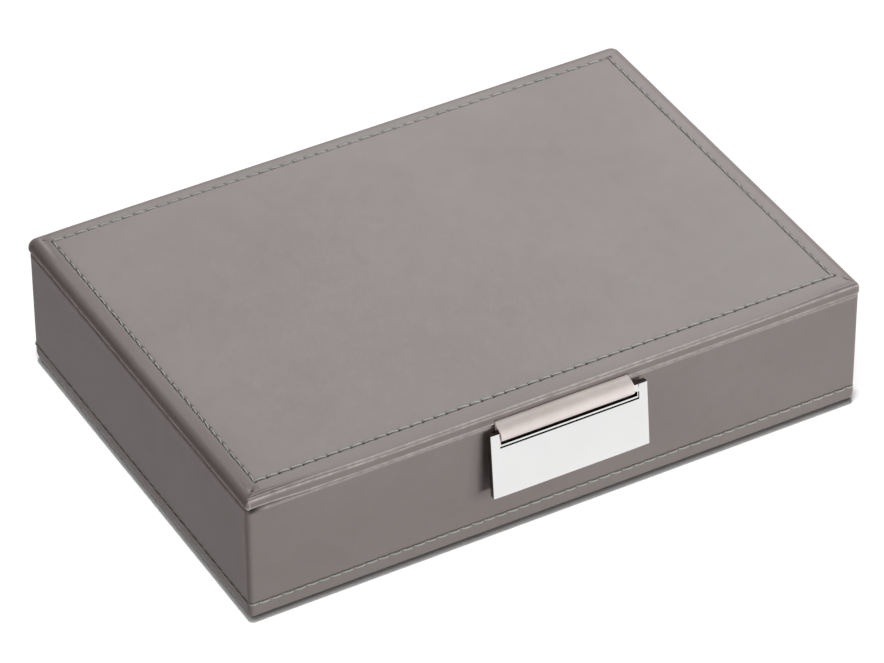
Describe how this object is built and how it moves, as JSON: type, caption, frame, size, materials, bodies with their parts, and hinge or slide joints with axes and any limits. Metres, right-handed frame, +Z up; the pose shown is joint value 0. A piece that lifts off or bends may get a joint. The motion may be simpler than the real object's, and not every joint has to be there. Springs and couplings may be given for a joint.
{
  "type": "cufflink box",
  "caption": "Low leather-covered cufflink box with a hinged stitched lid, velvet compartments and a metal pull plate on a leather tab.",
  "frame": {"origin": "on the table, at the middle of the felt under the base, which is also the middle of the box without its pull and hinge barrels", "axes": "+X to the right along the front, +Y to the back (hinge side), +Z up"},
  "size_m": [0.18, 0.131, 0.0404],
  "materials": {
    "taupe_leather": "smooth satin, very fine grain",
    "cream_leather": "soft matt, fine grain",
    "thread": "twisted polyester thread",
    "velvet": "short-pile velvet on card",
    "felt": "matt felt",
    "foam": "thin foam",
    "greyboard": "raw fibreboard",
    "hinge_metal": "nickel-plated steel",
    "polished_nickel": "polished nickel plate"
  },
  "bodies": {
    "base": {"base_felt_pad": "felt", "base_cover": "taupe_leather", "base_stitching": "thread", "bottom_board": "greyboard", "front_wall_board": "greyboard", "rear_wall_board": "greyboard", "left_wall_board": "greyboard", "right_wall_board": "greyboard", "floor_lining": "velvet", "front_wall_lining": "velvet", "rear_wall_lining": "velvet", "left_wall_lining": "velvet", "right_wall_lining": "velvet", "divider_long_front": "velvet", "divider_long_rear": "velvet", "divider_cross_1": "velvet", "divider_cross_2": "velvet", "divider_cross_3": "velvet", "divider_cross_4": "velvet", "hinge_left_base_leaf": "hinge_metal", "hinge_right_base_leaf": "hinge_metal", "hinge_left_pin": "hinge_metal", "hinge_right_pin": "hinge_metal", "hinge_screws_base": "hinge_metal"},
    "lid": {"lid_cover": "taupe_leather", "lid_stitching": "thread", "lid_foam": "foam", "lid_board": "greyboard", "lid_liner": "velvet", "hinge_left_lid_leaf": "hinge_metal", "hinge_right_lid_leaf": "hinge_metal", "hinge_screws_lid": "hinge_metal", "pull_tab": "cream_leather"},
    "pull": {"pull_plate": "polished_nickel"}
  },
  "joints": [
    {"name": "lid_hinge", "type": "hinge", "parent": "base", "child": "lid", "pos_m": [0, 0.06295, 0.0366], "axis": [-1, 0, 0], "range_deg": [0, 95]},
    {"name": "pull_swing", "type": "hinge", "parent": "lid", "child": "pull", "pos_m": [0, -0.06442, 0.03445], "axis": [-1, 0, 0], "range_deg": [0, 105]}
  ]
}
